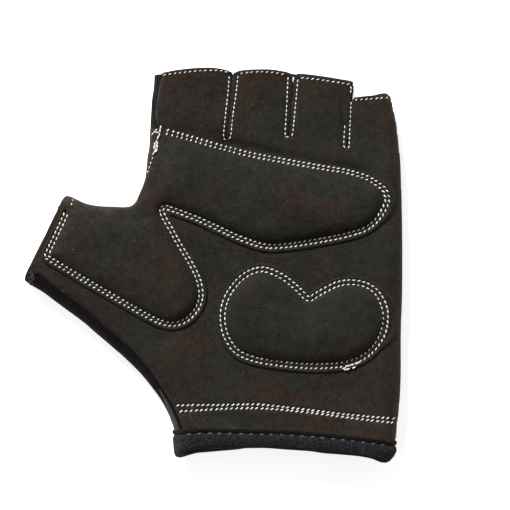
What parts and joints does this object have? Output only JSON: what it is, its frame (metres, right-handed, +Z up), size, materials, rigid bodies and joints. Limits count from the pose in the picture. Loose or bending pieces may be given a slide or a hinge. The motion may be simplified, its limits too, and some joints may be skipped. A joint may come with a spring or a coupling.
{
  "type": "cycling glove",
  "caption": "Fingerless cycling glove for the left hand, palm up: suede palm with padded patches over knuckles, thumb crotch and heel, stretch knit back and a bound wrist.",
  "frame": {"origin": "middle of the footprint, on the surface that the glove's back rests on", "axes": "+Y from the wrist towards the fingers, -X towards the thumb, +Z up out of the palm side"},
  "size_m": [0.1506, 0.158, 0.0223],
  "materials": {
    "palm_suede": "matt short-nap suede, dark brown mottled with grey green",
    "pad_suede": "matt short-nap suede over foam, dark brown",
    "web_suede": "matt short-nap suede, dark brown",
    "back_knit": "black stretch knit with a slight sheen",
    "side_knit": "dark grey green stretch knit",
    "cuff_knit": "dark bluish grey stretch binding",
    "woven_tape": "dark grey twill tape"
  },
  "bodies": {
    "root": {"palm_panel": "palm_suede", "back_panel": "back_knit", "index_side": "side_knit", "web_strip": "web_suede", "grip_patch": "pad_suede", "heel_patch": "pad_suede", "edge_tape": "woven_tape", "cuff_binding": "cuff_knit"}
  },
  "joints": []
}
